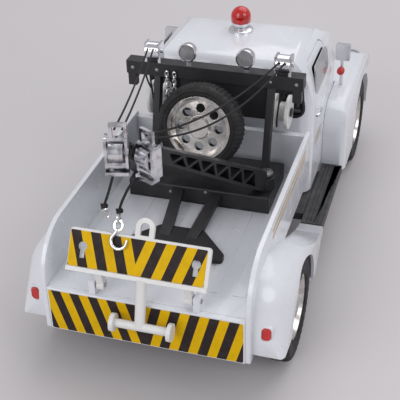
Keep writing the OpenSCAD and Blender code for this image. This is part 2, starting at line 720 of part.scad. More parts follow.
module tow_bar() color(warm) row() difference() {
  union() {
    translate([0, plate_y0, plate_z0]) rotate([-plate_lean, 0, 0]) tow_plate();
    both() {
      yz(lug_x0 - 3.2, lug_x0 - 0.5) polygon([[hinge_y - 1.6, hinge_z], [hinge_y + 1.6, hinge_z],
        [plate_y0 + plate_t, plate_z0 + 0.6], [plate_y0 - 0.4, plate_z0 - 0.2]]);
      along_x(lug_x0 - 3.2, lug_x0 - 0.5, hinge_y, hinge_z, 2.2);
    }
    rod([0, plate_y0 - 0.4, plate_z0], [0, cross_y, cross_z], 2);
    along_x(cross_x - cross_hl, cross_x + cross_hl, cross_y, cross_z, 1.65);
    translate([cross_x, 0, 0]) both() along_x(cross_hl - 0.4, cross_hl + 1.2, cross_y, cross_z, disc_r);
  }
  along_x(-lug_x0, lug_x0, hinge_y, hinge_z, tow_pin_r + run);
}

module tow_pin() color(chrome) row() both() along_x(lug_x0 - 3.6, lug_x0 + lug_w + 0.4, hinge_y, hinge_z, tow_pin_r);

// Tyre about the X axis, r its outer radius
module tyre(r, x0, x1) {
  c = min(2.6, (r - rim_r - seat) / 2 - 0.1);
  rotate([0, 90, 0]) rotate_extrude($fn = 96) difference() {
    union() {
      translate([rim_r + seat, x0 + c]) square([r - rim_r - seat, x1 - x0 - 2 * c]);
      translate([rim_r + seat, x0]) square([r - c - rim_r - seat, x1 - x0]);
      translate([r - c, x0 + c]) circle(c, $fn = 32);
      translate([r - c, x1 - c]) circle(c, $fn = 32);
    }
    for (i = [-1, 0, 1]) translate([r - 0.5, (x0 + x1) / 2 + i * 2 - 0.35]) square([1, 0.7]);
  }
}

// Rim about the X axis with its outer face at larger X
module rim() rotate([0, 90, 0]) difference() {
  rotate_extrude($fn = 96) polygon([[0, rim_back], [4.2, rim_back], [4.2, rim_back + 3], [rim_r - 1.6, rim_back + 3],
    [rim_r - 1.6, rim_back], [rim_r, rim_back], [rim_r, rim_face], [rim_r - 1.4, rim_face],
    [rim_r - 2.4, rim_face - 2.6], [5, rim_face - 2.2], [4, rim_face - 0.4], [0, rim_face - 0.4]]);
  for (a = [0:45:315]) rotate([0, 0, a]) translate([8.2, 0, rim_back - 1]) cylinder(r = 1.9, h = 14);
}

module wheelset(y, d) translate([0, y, axle_z]) {
  along_x(-rim_back - 1 + d, rim_back + 1 - d, 0, 0, axle_r);
  both() translate([-d, 0, 0]) rim();
}

module rear_wheelset() color(chrome) row() wheelset(rear_axle_y, 0);

module front_wheelset() color(chrome) row() wheelset(front_axle_y, front_in);

module road_tyres(y, d) both() translate([-d, y, axle_z]) tyre(tyre_r, tyre_x0, tyre_x1);

module rear_tyres() color(rubber) row() road_tyres(rear_axle_y, 0);

module front_tyres() color(rubber) row() road_tyres(front_axle_y, front_in);

module spare_place() translate([0, spare_y + 5, spare_z]) rotate([-spare_tilt, 0, 0])
  translate([0, rim_face - 5, 0]) rotate([0, 0, -90]) children();

module spare_tyre() color(rubber) row() spare_place() tyre(spare_r, tyre_x0, tyre_x1);

module spare_rim() color(chrome) row() spare_place() rim();

chassis();
base_screws();
bed_floor();
bed_side_left();
bed_side_right();
bed_front_wall();
tail_board();
tail_lamps();
rear_fender_left();
rear_fender_right();
running_board_left();
running_board_right();
cab_shell();
door_left();
door_right();
cab_glass();
hood();
nose();
grille();
headlamps();
front_bumper();
front_fender_left();
front_fender_right();
mirrors();
bench_seat();
dashboard();
steering_wheel();
engine();
beacon_base();
beacon_dome();
mast_post_left();
mast_post_right();
mast_beam();
spotlights();
masthead_pulleys();
winch_brackets();
winch_drum_left();
winch_drum_right();
hoist_cables();
winch_platform();
floor_brace();
boom_pins();
boom_left();
boom_right();
boom_head_left();
boom_head_right();
boom_cable_left();
boom_cable_right();
hook_cord();
tow_hook();
left_cord();
tow_bar();
tow_pin();
spare_tyre();
spare_rim();
rear_wheelset();
rear_tyres();
front_wheelset();
front_tyres();
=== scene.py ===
import json
import math

import bmesh
import bpy
from mathutils import Matrix, Vector


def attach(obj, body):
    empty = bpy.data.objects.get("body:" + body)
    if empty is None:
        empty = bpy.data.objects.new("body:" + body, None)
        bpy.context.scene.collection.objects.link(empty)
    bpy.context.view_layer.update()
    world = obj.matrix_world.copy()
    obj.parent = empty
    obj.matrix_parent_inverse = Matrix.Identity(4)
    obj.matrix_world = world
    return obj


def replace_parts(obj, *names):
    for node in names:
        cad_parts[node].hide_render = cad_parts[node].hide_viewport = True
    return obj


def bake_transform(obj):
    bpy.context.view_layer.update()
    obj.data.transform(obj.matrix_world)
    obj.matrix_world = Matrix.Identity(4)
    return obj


bl_info = {
    "name": "Toy Tow Truck",
    "version": (1, 0, 0),
    "blender": (4, 5, 0),
    "location": "View3D > Sidebar > Tow Truck",
    "description": "Finishes the packed tow truck: paint, hazard stripes, lamps, rigging "
                   "and a studio",
    "category": "Object",
}

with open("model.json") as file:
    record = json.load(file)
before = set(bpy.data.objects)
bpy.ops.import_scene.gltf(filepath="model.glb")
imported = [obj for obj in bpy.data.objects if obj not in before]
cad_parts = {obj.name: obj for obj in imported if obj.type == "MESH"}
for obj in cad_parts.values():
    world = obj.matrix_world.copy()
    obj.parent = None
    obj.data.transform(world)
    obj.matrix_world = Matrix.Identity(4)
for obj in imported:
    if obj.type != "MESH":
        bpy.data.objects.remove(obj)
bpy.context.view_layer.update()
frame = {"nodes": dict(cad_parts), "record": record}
SLOTS = {part["node"]: part["material_slot"] for part in frame["record"]["subparts"]}
SIDES = (("left", -1), ("right", 1))
UP = Vector((0, 0, 1))
ALONG = Vector((0, 1, 0))
ACROSS = Vector((1, 0, 0))
MM = 0.001
# Doubles nearer than this are merged, in metres: in a spun profile, a new piece, a copied solid.
SPIN_WELD, WELD, COPY_WELD = 1e-6, 2e-6, 3e-6

# Places and sizes are in millimetres: X to the right of the middle, Y forward from
# the tail board's rear face, Z up from the floor.
Y_MID = 115.0


def at(x, y, z):
    """A point of the frame, in metres, from millimetres."""
    return Vector((x, y - Y_MID, z)) * MM


BED_FACE = 41.0
DOOR_FACE = 40.0
LINE_HALF = 0.03
LINE_HIGH = 1.3

REAR_WINDOW_Y = 115.3
REAR_BEND_Z = 68.0
REAR_SLOPE = 0.12
WINDSCREEN_Y = 169.2
WINDSCREEN_Z = 79.1
WINDSCREEN_LEAN = math.radians(31.6)
PANE_FACE = 39.2
PANE_THICK = 0.6
SHOULDER_Z = 76.8
SHOULDER_R = 15.0

TAIL_FOOT = 22.4
PLATE_FOOT = at(0, 1, 53.5)
PLATE_LEAN = math.radians(31)
PLATE_TURN = Matrix.Rotation(-PLATE_LEAN, 3, "X")
PLATE_MIDDLE = -3.15
PLATE_HOLES = (-24.2, 19.6)
PLATE_HOLE_Z = 62.1

TAIL_LAMP_X = 46.0
TAIL_LAMP_Z = 35.4
TAIL_LAMP_FRAME = ((2.3, 3.2), (1.72, 2.62))
HEADLAMP = (40.5, 231.7, 42)
MARKER = (43.4, 168.4, 63.4)
SPOT_X = 12.6
SPOT_SHIFT = 1.7
SPOT_Y = 94.6
SPOT_Z = 100.0
BEACON_FOOT = at(0, 142.7, 91.76)
BEACON_LENS_FOOT = at(0, 142.7, 96.1)

TYRES = {"rear_tyres": (46.9, 37.5), "front_tyres": (45.4, 197.5)}
TYRE_R = 22.4
TYRE_HALF = 5.0
SPARE_TURN = Matrix.Rotation(-math.radians(13), 3, "X")
SPARE_CENTRE = at(0, 78, 76) + SPARE_TURN @ (ALONG * -0.7 * MM)
SPARE_R = 18.2

PLATFORM_BOLTS = ((-12.1, 46.5), (-8.4, 48.1), (3.5, 48.6), (6.7, 47.5))
BOOM_PIN_X = 27.8
BOOM_PIN_Y = 78.4
BOOM_REACH = 63.0
BOOM_TURN = {"left": math.asin(15.5 / BOOM_REACH), "right": -math.asin(28.4 / BOOM_REACH)}
# Of each boom's strings: X of their pulley; half their gap, their shift and their
# height at the boom's head; their dip as a share of the sag, and how far the outer
# one hangs below that and the inner one above it.
STRINGS = {"left": (26.8, 1.4, 1.0, 106.17, 0.28, 0.0),
           "right": (30.0, 1.6, 0.0, 102.1, 1.0, 1.5)}
PULLEY_Y = 94.1
PULLEY_Z = 100.6
PULLEY_GAP = 1.2
STRING_R = 0.4
STRING_STEPS = 24
STRING_OUT = 64.6
LOOSE_R = 0.5
HOOK_TOP = at(-11.2, 10.8, 71.8)
HOOK_KNOT = at(-10.8, 10.6, 75.5)
LEFT_KNOT = at(-14.5, 6, 80)

# Profiles of turned pieces, as (radius, along the axis) pairs.
HEADLAMP_RING = [(4.7, -0.1), (5.2, -0.4), (5.8, 0), (6.1, 1.0), (6.0, 2.2)]
SPOT_SHELL = [(3.3, 0.4), (3.5, -0.1), (4.0, 0), (4.1, 0.6), (4.0, 2.0), (3.6, 3.8), (2.6, 5.2),
              (1.1, 5.9), (0, 6.0)]
SPOT_PANE = [(0, -0.5), (1.8, -0.35), (3.4, 0.1)]
MARKER_LAMP = [(0, -0.9), (1.0, -0.7), (1.7, 0), (1.9, 0.9), (1.9, 2.3), (0, 2.4)]
BEACON_LENS = [(0, 7.2), (1.3, 7.0), (2.5, 6.45), (3.5, 5.58), (4.2, 4.45), (4.52, 3.45),
               (4.6, 2.6), (4.6, 0.3), (4.4, 0), (0, 0)]
BEACON_RING = [(0, 4.3), (4.3, 4.3), (4.35, 3.8), (3.7, 2.6), (3.8, 1.5), (5.2, 1.2), (5.6, 0.8),
               (5.6, 0), (0, 0)]

CAMERA_PLACE = at(101.7069, -244.5967, 262.2503)
CAMERA_YAW, CAMERA_PITCH, CAMERA_ROLL = 0.3099, -0.5834, -0.0293
CAMERA_LENS = 83.26


def shown(r, g, b):
    """Linear colour of the display values 0 to 255."""
    return [((c / 255 + 0.055) / 1.055) ** 2.4 for c in (r, g, b)]


def opaque(color, gain=1.0):
    """The colour times gain, with full alpha."""
    return (color[0] * gain, color[1] * gain, color[2] * gain, 1.0)


class Value:
    """A shader socket that takes part in Python expressions."""

    def __init__(self, finish, socket):
        self.finish = finish
        self.socket = socket

    def math(self, operation, *others, swap=False):
        """A Math node on this value and others, with this one last where swapped."""
        terms = others + (self,) if swap else (self,) + others
        return self.finish.node("Math", {"operation": operation}, dict(enumerate(terms)))

    def __add__(self, other):
        return self.math("ADD", other)

    __radd__ = __add__

    def __sub__(self, other):
        return self.math("SUBTRACT", other)

    def __rsub__(self, other):
        return self.math("SUBTRACT", other, swap=True)

    def __mul__(self, other):
        return self.math("MULTIPLY", other)

    __rmul__ = __mul__

    def __truediv__(self, other):
        return self.math("DIVIDE", other)

    def __rtruediv__(self, other):
        return self.math("DIVIDE", other, swap=True)

    def __abs__(self):
        return self.math("ABSOLUTE")

    def between(self, low, high, first=0.0, last=1.0):
        """Eased from first to last while the value goes from low to high."""
        return self.finish.node("MapRange", {"interpolation_type": "SMOOTHSTEP"},
                                {0: self, 1: low, 2: high, 3: first, 4: last})

    def wave(self, period):
        """Sine of a length, with its period in metres."""
        return (self * (2 * math.pi / period)).math("SINE")


class Finish:
    """One procedural material on object coordinates."""

    def __init__(self, name, color, rough, metallic=0.0, **constants):
        self.material = bpy.data.materials.new(name)
        self.material.use_nodes = True
        self.material.diffuse_color = opaque(color)
        self.tree = self.material.node_tree
        self.shader = self.tree.nodes["Principled BSDF"]
        self.shader.inputs["Base Color"].default_value = opaque(color)
        self.shader.inputs["Roughness"].default_value = rough
        self.shader.inputs["Metallic"].default_value = metallic
        for socket, value in constants.items():
            self.shader.inputs[socket.replace("_", " ")].default_value = value
        self.place = self.node("TexCoord", out="Object")

    def node(self, kind, settings=None, sockets=None, out=0):
        """A new node with its settings, then the values or links of its sockets."""
        made = self.tree.nodes.new("ShaderNode" + kind)
        for name, value in (settings or {}).items():
            setattr(made, name, value)
        for name, value in (sockets or {}).items():
            if isinstance(value, Value):
                self.tree.links.new(value.socket, made.inputs[name])
            else:
                made.inputs[name].default_value = value
        return Value(self, made.outputs[out])

    def feed(self, socket, value):
        """Links a value to one of the shader's sockets."""
        self.tree.links.new(value.socket, self.shader.inputs[socket])

    def axes(self):
        """X, Y and Z on the piece, in metres."""
        split = self.node("SeparateXYZ", None, {0: self.place}).socket.node
        return [Value(self, out) for out in split.outputs]

    def noise(self, scale, detail=3.0, roughness=0.5, stretch=(1, 1, 1)):
        """Clouds from 0 to 1, scale to the metre."""
        where = self.node("Mapping", None, {"Vector": self.place, "Scale": stretch})
        return self.node("TexNoise", None, {"Vector": where, "Scale": scale, "Detail": detail,
                                            "Roughness": roughness})

    def cells(self, scale):
        """Distance to the edges of small cells."""
        return self.node("TexVoronoi", {"feature": "DISTANCE_TO_EDGE"},
                         {"Vector": self.place, "Scale": scale})

    def mix(self, factor, first, second):
        """From the first colour to the second."""
        return self.node("Mix", {"data_type": "RGBA"}, {0: factor, 6: first, 7: second}, 2)

    def patches(self, color, gain, noise, low=0.35, high=0.75):
        """Base colour that drifts to gain times itself where the noise is high."""
        mask = noise.between(low, high)
        self.feed("Base Color", self.mix(mask, opaque(color), opaque(color, gain)))

    def gloss(self, noise, least, most):
        """Roughness that wanders between two values."""
        self.feed("Roughness", noise.between(0.3, 0.7, least, most))

    def bump(self, height, strength, distance):
        """Relief of the surface, with its depth in metres."""
        self.feed("Normal", self.node("Bump", None, {"Height": height, "Strength": strength,
                                                     "Distance": distance}))


def paint(name, color, rough=0.2):
    """Gloss enamel with faint cloudiness and orange peel."""
    f = Finish(name, color, rough, Coat_Weight=0.5, Coat_Roughness=0.05)
    f.patches(color, 0.94, f.noise(30), high=0.7)
    f.gloss(f.noise(140), rough - 0.04, rough + 0.08)
    f.bump(f.noise(700, 1), 0.05, 0.00006)
    return f.material


def plastic(name, color, rough=0.45, grain=1400, depth=0.15, vary=1.35):
    """Moulded plastic with a fine grain."""
    f = Finish(name, color, rough)
    f.patches(color, vary, f.noise(60, 4))
    f.gloss(f.noise(260), rough - 0.08, rough + 0.1)
    f.bump(f.noise(grain, 2), depth, 0.00005)
    return f.material


def metal(name, color, rough, marks=0.06, patch=80, dark=0.84):
    """Plated metal with small drawing marks and darker patches; on the cast chrome heads the
    patches are deep, as painted reflections and shade.
    """
    f = Finish(name, color, rough, 1.0)
    f.patches(color, dark, f.noise(patch), low=0.4)
    f.gloss(f.noise(420, 3, 0.6, (1, 1, 0.3)), rough, rough + 0.12)
    f.bump(f.noise(600, 2), marks, 0.00005)
    return f.material


def stripes(name, look, middle, foot, slant, period, phase):
    """Yellow and black bands that lean outward on both halves and meet in a V."""
    f = Finish(name, look.yellow, 0.5, Specular_IOR_Level=0.12)
    x, _, z = f.axes()
    run = (abs(x - middle) - (z - foot) * slant) / period + phase
    dark = abs(run.math("FRACT") - 0.5).between(0.246, 0.262, 1.0, 0.0)
    worn = f.noise(260, 4, 0.6).between(0.35, 0.75)
    gold = f.mix(worn, opaque(look.yellow), opaque(look.yellow, 0.88))
    night = f.mix(worn, opaque(look.black), opaque(look.black, 1.5))
    f.feed("Base Color", f.mix(dark, gold, night))
    f.gloss(f.noise(420), 0.42, 0.58)
    f.bump(f.noise(1300, 2), 0.06, 0.00003)
    return f.material


def tyre(name, color):
    """Matt rubber, dusty in places."""
    f = Finish(name, color, 0.7)
    f.patches(color, 2.0, f.noise(170, 5, 0.6), 0.4, 0.8)
    f.gloss(f.noise(300), 0.55, 0.8)
    f.bump(f.noise(900, 4) + f.cells(420) * 0.4, 0.3, 0.0001)
    return f.material


def string(name, color):
    """Twisted string with slanting strands."""
    f = Finish(name, color, 0.85)
    x, y, z = f.axes()
    lay = (x + y * 1.3 + z * 1.7).wave(0.0011)
    f.patches(color, 3.0, lay, -0.6, 0.9)
    f.bump(lay, 0.6, 0.00012)
    return f.material


def lens(name, color):
    """Ribbed coloured plastic with a little painted glow of its own colour."""
    f = Finish(name, color, 0.1, Coat_Weight=0.6, Coat_Roughness=0.03, Emission_Strength=0.12,
               Emission_Color=opaque(color))
    f.patches(color, 0.6, f.noise(240, 2), high=0.7)
    f.gloss(f.noise(300, 2), 0.07, 0.16)
    f.bump(f.axes()[2].wave(0.0011), 0.2, 0.00008)
    return f.material


def rubber_mat(name, color):
    """Running board rubber with cross ribs."""
    f = Finish(name, color, 0.6)
    f.patches(color, 1.7, f.noise(160, 4))
    f.gloss(f.noise(260), 0.5, 0.72)
    f.bump(f.axes()[1].wave(0.0016) * 0.5 + f.noise(900, 2), 0.4, 0.0001)
    return f.material


def pane(name, color, alpha):
    """Clear or smoked window plastic."""
    f = Finish(name, color, 0.08, Alpha=alpha, Coat_Weight=0.7, Coat_Roughness=0.03)
    f.patches(color, 0.72, f.noise(60), 0.3, 0.8)
    f.gloss(f.noise(220), 0.05, 0.13)
    return f.material


def tail_stripes(name, look):
    return stripes(name, look, 0.0, TAIL_FOOT * MM, math.tan(look.tail_lean), look.tail_period,
                   look.tail_phase)


def plate_stripes(name, look):
    return stripes(name, look, PLATE_MIDDLE * MM, PLATE_FOOT.z,
                   math.tan(look.plate_lean) / math.cos(PLATE_LEAN), look.plate_period,
                   look.plate_phase)


FINISHES = {
    "body_white": lambda n, look: paint(n, look.white),
    "warm_white": lambda n, look: plastic(n, look.cream, 0.34, grain=900, depth=0.06, vary=0.92),
    "black_plastic": lambda n, look: plastic(n, look.black_plastic),
    "interior_black": lambda n, look: plastic(n, look.black_plastic, 0.6),
    "engine_grey": lambda n, look: plastic(n, shown(92, 92, 95), 0.5),
    "board_rubber": lambda n, look: rubber_mat(n, shown(60, 59, 62)),
    "chrome": lambda n, look: metal(n, look.chrome, 0.1),
    # Deep dark patches here are painted reflections and shade: splotches that stand for the heads'
    # contrasty mirroring.
    "cast_chrome": lambda n, look: metal(n, look.chrome, 0.14, marks=0.9, patch=260, dark=0.3),
    "rim_chrome": lambda n, look: metal(n, shown(235, 231, 227), 0.16, marks=0.4, patch=170,
                                         dark=0.6),
    "pin_steel": lambda n, look: metal(n, shown(176, 174, 173), 0.26, marks=0.12),
    "red_lens": lambda n, look: lens(n, look.red),
    "dark_glass": lambda n, look: pane(n, shown(44, 43, 47), 0.78),
    "spot_glass": lambda n, look: pane(n, shown(142, 142, 145), 0.95),
    "side_glass": lambda n, look: pane(n, shown(188, 191, 197), 0.65),
    "lamp_glass": lambda n, look: pane(n, shown(206, 209, 216), 0.92),
    "black_cord": lambda n, look: string(n, shown(24, 23, 25)),
    "tyre_rubber": lambda n, look: tyre(n, shown(22, 21, 23)),
    "window_seal": lambda n, look: plastic(n, shown(24, 23, 25), 0.5),
    "gold_line": lambda n, look: metal(n, shown(204, 178, 124), 0.32),
    "tail_stripes": tail_stripes,
    "plate_stripes": plate_stripes,
}


def finish(name):
    """The material of that name, made on first use."""
    made = bpy.data.materials.get("finish_" + name)
    return made or FINISHES[name]("finish_" + name, bpy.context.scene.tow_truck_look)


def body_of(node):
    """The name of the body that carries a node."""
    bodies = frame["record"]["behaviour"]["bodies"]
    return next(name for name, nodes in bodies.items() if node in nodes)


def place(name, bm, coat, body, sharp=35.0):
    """Turns a bmesh into a piece that rides on a body, or on none yet."""
    for face in bm.faces:
        face.smooth = True
    for edge in bm.edges:
        bend = edge.calc_face_angle(0.0)
        edge.smooth = len(edge.link_faces) == 2 and bend < math.radians(sharp)
    mesh = bpy.data.meshes.new(name)
    bm.to_mesh(mesh)
    bm.free()
    if "custom_normal" in mesh.attributes:
        mesh.attributes.remove(mesh.attributes["custom_normal"])
    mesh.materials.clear()
    mesh.materials.append(finish(coat))
    piece = bpy.data.objects.new(name, mesh)
    bpy.context.scene.collection.objects.link(piece)
    if body:
        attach(piece, body)
    return piece


def fresh(name, bm, coat, body, sharp=35.0):
    """As place, for a mesh made here: doubles are merged and faces turned outward."""
    bmesh.ops.remove_doubles(bm, verts=bm.verts, dist=WELD)
    bmesh.ops.recalc_face_normals(bm, faces=bm.faces)
    return place(name, bm, coat, body, sharp)


def soften(piece, width, angle=35.0):
    """Rounds a piece's sharp edges."""
    edge = piece.modifiers.new("soft_edges", "BEVEL")
    edge.width = width
    edge.segments = 2
    edge.limit_method = "ANGLE"
    edge.angle_limit = math.radians(angle)
    edge.harden_normals = True
    edge.use_clamp_overlap = True


def dressed(node, width=0.3 * MM, coat=None, sharp=35.0):
    """A smooth copy of a solid with soft edges, which stands for it."""
    bm = bmesh.new()
    bm.from_mesh(frame["nodes"][node].data)
    bmesh.ops.remove_doubles(bm, verts=bm.verts, dist=COPY_WELD)
    bmesh.ops.dissolve_limit(bm, angle_limit=math.radians(0.5), verts=bm.verts, edges=bm.edges)
    slot = SLOTS[node]
    piece = place(node + "_finish", bm, coat or slot, body_of(node), sharp)
    if width:
        soften(piece, width, sharp)
    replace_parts(piece, node)
    return piece


def turned(bm, profile, centre, axis, steps=40):
    """Spins a profile of (radius, along) pairs in millimetres round an axis."""
    axis = axis.normalized()
    out = axis.orthogonal().normalized()
    verts = [bm.verts.new(centre + out * r * MM + axis * h * MM) for r, h in profile]
    edges = [bm.edges.new(pair) for pair in zip(verts, verts[1:])]
    bmesh.ops.spin(bm, geom=verts + edges, cent=centre, axis=axis, angle=2 * math.pi,
                   steps=steps, use_merge=True)
    bmesh.ops.remove_doubles(bm, verts=bm.verts, dist=SPIN_WELD)


def tread(bm, centre, axis, radius, half, blocks, depth):
    """A tyre with block tread, sizes in millimetres."""
    flank = [(13.56, 0.9), (14.2, 0.1), (14.9, 0.0), (15.3, 0.25), (15.8, 0.0),
             (radius - 2.2, 0.0), (radius - 1.1, 0.45), (radius - 0.35, 1.3), (radius, 2.4),
             (radius, 3.2), (radius - 0.6, 3.35), (radius - 0.6, 3.75), (radius, 3.9)]
    profile = [(r, d - half) for r, d in flank] + [(r, half - d) for r, d in reversed(flank)]
    steps = blocks * 4
    turned(bm, profile + profile[:1], centre, axis, steps)
    out = axis.orthogonal().normalized()
    side = axis.cross(out)
    for vert in bm.verts:
        arm = vert.co - centre
        along = arm.dot(axis)
        # The mesh may hold the axle's other tyre, which is left as it is.
        if abs(along) > half * 1.01 * MM:
            continue
        reach = arm - axis * along
        step = round(math.atan2(reach.dot(side), reach.dot(out)) / (2 * math.pi) * steps)
        if reach.length > (radius - 2.4) * MM and step % 4 > 1:
            vert.co -= reach.normalized() * depth * MM


def tube(bm, points, radius, closed=False, widths=None, fine=2):
    """A round bar through points, in metres."""
    curve = bpy.data.curves.new("route", "CURVE")
    curve.dimensions = "3D"
    curve.bevel_depth = radius
    curve.bevel_resolution = fine
    curve.use_fill_caps = True
    line = curve.splines.new("POLY")
    line.points.add(len(points) - 1)
    for i, (spot, point) in enumerate(zip(line.points, points)):
        spot.co = (*point, 1.0)
        spot.radius = widths[i] if widths else 1.0
    line.use_cyclic_u = closed
    carrier = bpy.data.objects.new("route", curve)
    mesh = bpy.data.meshes.new_from_object(carrier)
    bm.from_mesh(mesh)
    bpy.data.objects.remove(carrier)
    bpy.data.curves.remove(curve)
    bpy.data.meshes.remove(mesh)


def route(points, per=6):
    """Smooth points through the given ones."""
    ends = [points[0]] + points + [points[-1]]
    found = []
    for a, b, c, d in zip(ends, ends[1:], ends[2:], ends[3:]):
        first, second, third = c - a, 2 * a - 5 * b + 4 * c - d, 3 * b - a - 3 * c + d
        for t in (k / per for k in range(per)):
            found.append(0.5 * (2 * b + first * t + second * t * t + third * t ** 3))
    return found + [points[-1]]


def block(bm, low, high):
    """A box between two corners, in millimetres."""
    low, high = at(*low), at(*high)
    size = Matrix.Diagonal((*(high - low), 1.0))
    bmesh.ops.create_cube(bm, size=1.0, matrix=Matrix.Translation((low + high) / 2) @ size)


def rounded(corners, per=6):
    """Closed outline from (a, b, radius) corners."""
    found = []
    for i, (a, b, radius) in enumerate(corners):
        here = Vector((a, b))
        back = (Vector(corners[i - 1][:2]) - here).normalized()
        ahead = (Vector(corners[(i + 1) % len(corners)][:2]) - here).normalized()
        half = back.angle(ahead) / 2
        middle = here + (back + ahead).normalized() * (radius / math.sin(half))
        start = here + back * (radius / math.tan(half)) - middle
        turn = start.angle_signed(here + ahead * (radius / math.tan(half)) - middle)
        found += [middle + Matrix.Rotation(-turn * k / per, 2) @ start for k in range(per + 1)]
    return found


def oblong(a0, b0, a1, b1, radius, per=6):
    """Closed outline of a rectangle with round corners."""
    return rounded([(a0, b0, radius), (a1, b0, radius), (a1, b1, radius), (a0, b1, radius)], per)


def thicken(bm, faces, step):
    """Pulls a flat sheet out into a slab."""
    grown = bmesh.ops.extrude_face_region(bm, geom=faces)["geom"]
    verts = [g for g in grown if isinstance(g, bmesh.types.BMVert)]
    bmesh.ops.translate(bm, verts=verts, vec=step)


def plate(bm, loops, y0, y1):
    """A slab from X-Z loops in millimetres, the first outside and the rest holes."""
    edges = []
    for loop in loops:
        verts = [bm.verts.new(at(p.x, y0, p.y)) for p in loop]
        edges += [bm.edges.new((v, verts[i - 1])) for i, v in enumerate(verts)]
    made = bmesh.ops.triangle_fill(bm, use_beauty=True, edges=edges)["geom"]
    thicken(bm, [g for g in made if isinstance(g, bmesh.types.BMFace)], ALONG * (y1 - y0) * MM)


def keyhole(x, z, radius=1.7, slot=0.9, depth=4.4):
    """Outline of a round hole with a slot below."""
    arc = [math.radians(-58 + 296 * k / 20) for k in range(21)]
    ring = [Vector((x + radius * math.cos(t), z + radius * math.sin(t))) for t in arc]
    return ring + [Vector((x - slot, z - depth)), Vector((x + slot, z - depth))]


def bolt(bm, centre, axis, r, h):
    """A domed head on a washer."""
    turned(bm, [(0, h), (r * 0.5, h * 0.93), (r * 0.85, h * 0.65), (r, h * 0.3), (r, 0.1),
                (r * 1.3, 0.1), (r * 1.3, -0.1)], centre, axis, 16)


def link(bm, centre, along, face, length, width, wire):
    """An oval ring of wire, sizes in millimetres to the middle of the wire."""
    along = along.normalized()
    side = along.cross(face).normalized()
    half = (length - width) / 2
    points = []
    for k in range(20):
        t = 2 * math.pi * (k + 0.5) / 20
        reach = math.copysign(half, math.cos(t)) + width / 2 * math.cos(t)
        points.append(centre + (along * reach + side * (width / 2 * math.sin(t))) * MM)
    tube(bm, points, wire * MM, True, fine=1)


def knot(bm, centre, size=0.36):
    """A small overhand knot."""
    points = []
    for k in range(36):
        t = 2 * math.pi * k / 36
        bend = Vector((math.sin(t) + 2 * math.sin(2 * t), math.cos(t) - 2 * math.cos(2 * t),
                       -math.sin(3 * t)))
        points.append(centre + bend * (size * MM))
    tube(bm, points, 0.48 * MM, True)


def boom_point(side, out, across, z):
    """A point in a boom's own directions: out from its pin, across it, and its height."""
    turn = BOOM_TURN[side]
    x = BOOM_PIN_X * dict(SIDES)[side]
    return at(x + out * math.sin(turn) + across * math.cos(turn),
              BOOM_PIN_Y - out * math.cos(turn) + across * math.sin(turn), z)


def gold_lines(name, body, x, y0, y1, feet):
    """Thin level lines on a side panel, from the heights of their lower edges."""
    bm = bmesh.new()
    for z in feet:
        block(bm, (x - LINE_HALF, y0, z), (x + LINE_HALF, y1, z + LINE_HIGH))
    fresh(name, bm, "gold_line", body)


def seal(name, points, radius):
    """A rubber bead round a window."""
    bm = bmesh.new()
    tube(bm, points, radius * MM, True)
    fresh(name, bm, "window_seal", "truck")


def door_pane(side, s):
    """A door's window, which leans in over the shoulder as the door does."""
    bm = bmesh.new()
    verts = []
    for p in rounded([(124.6, 70.2, 3), (157.2, 70.2, 2), (154.2, 83.4, 3), (128, 83.4, 3)]):
        inward = SHOULDER_R - math.sqrt(SHOULDER_R ** 2 - max(0, p.y - SHOULDER_Z) ** 2)
        verts.append(bm.verts.new(at(s * (PANE_FACE - inward), p.x, p.y)))
    thicken(bm, [bm.faces.new(verts)], ACROSS * -s * PANE_THICK * MM)
    fresh("door_pane_" + side, bm, "side_glass", "door_" + side)


def boom_strings(side, s, sag):
    """The two slack strings from a masthead pulley to a boom's head."""
    pulley, apart, shift, high, share, spread = STRINGS[side]
    for name, k in (("inner", -s), ("outer", s)):
        start = at(s * pulley + PULLEY_GAP * k, PULLEY_Y, PULLEY_Z)
        end = boom_point(side, STRING_OUT, shift + apart * k, high)
        drop = sag * share + spread * k * MM
        path = []
        for t in (i / STRING_STEPS for i in range(STRING_STEPS + 1)):
            path.append(start.lerp(end, t) - UP * drop * 4 * t * (1 - t))
        bm = bmesh.new()
        tube(bm, path, STRING_R * MM)
        piece = fresh("boom_string_%s_%s" % (side, name), bm, "black_cord", None)
        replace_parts(piece, "boom_cable_" + side)
        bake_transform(piece)
        length = sum((b - a).length for a, b in zip(path, path[1:]))


def loose_string(name, points, end, body, node):
    """A short string with a knot at its end, in place of its node."""
    bm = bmesh.new()
    tube(bm, route(points + [end]), LOOSE_R * MM)
    knot(bm, end)
    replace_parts(fresh(name, bm, "black_cord", body), node)


def hook_forging():
    """The hook on its two rings."""
    bm = bmesh.new()
    link(bm, HOOK_TOP, Vector((0.1, 0, -1)), ACROSS, 3.6, 2.4, 0.5)
    link(bm, HOOK_TOP + PLATE_TURN @ Vector((0.2, 0, -2.4)) * MM, PLATE_TURN @ -UP,
         PLATE_TURN @ ALONG, 3.6, 3.2, 0.6)
    bends = [(0.1, -3.8), (-0.5, -4.8), (-1.2, -5.9)]
    widths = [0.8, 0.75, 0.75]
    for k in range(23):
        t = math.radians(160 + 215 * k / 22)
        bends.append((0.9 + 3 * math.cos(t), -8 + 3 * math.sin(t)))
        widths.append(0.7 - 0.35 * max(0, k - 16) / 6)
    points = [HOOK_TOP + PLATE_TURN @ Vector((x, 0, z)) * MM for x, z in bends]
    tube(bm, points, 1.0 * MM, False, widths, 3)
    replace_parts(fresh("hook_forging", bm, "chrome", "hook", 50), "tow_hook")


def colour(name, description, *display):
    """A colour setting, from display values 0 to 255."""
    return bpy.props.FloatVectorProperty(name=name, description=description, subtype="COLOR",
                                         size=3, default=shown(*display))


def span(name, description, size, least=0.0):
    """A length setting, from millimetres."""
    return bpy.props.FloatProperty(name=name, description=description, default=size * MM,
                                   min=least * MM, unit="LENGTH", precision=5)


